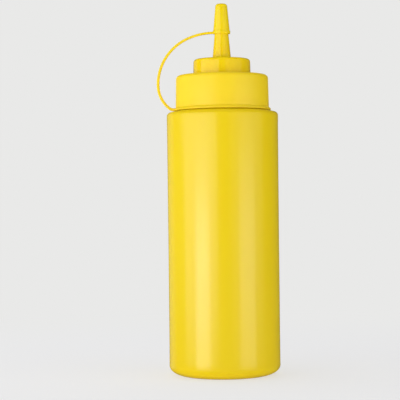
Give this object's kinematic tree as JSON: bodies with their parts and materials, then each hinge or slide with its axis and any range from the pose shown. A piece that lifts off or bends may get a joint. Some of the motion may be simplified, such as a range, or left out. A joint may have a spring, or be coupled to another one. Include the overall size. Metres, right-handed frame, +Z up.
{
  "type": "condiment squeeze bottle",
  "caption": "Tall round squeeze bottle for sauces, with a screw lid, a tapered nozzle, and a tip cap held by a thin strap and ring.",
  "frame": {"origin": "on the bottle's axis, on the surface it stands on", "axes": "+Z up along the bottle's axis to the tip cap; the tether's strap arches out towards -X; +Y is away from the side shown, which faces -Y"},
  "size_m": [0.0653, 0.06, 0.2],
  "materials": {
    "bottle_plastic": "satin blow-moulded low-density polyethylene, yellow",
    "lid_plastic": "satin injection-moulded low-density polyethylene, yellow",
    "tether_plastic": "satin injection-moulded soft low-density polyethylene, yellow"
  },
  "bodies": {
    "root": {"bottle": "bottle_plastic", "lid": "lid_plastic", "tether": "tether_plastic"}
  },
  "joints": []
}
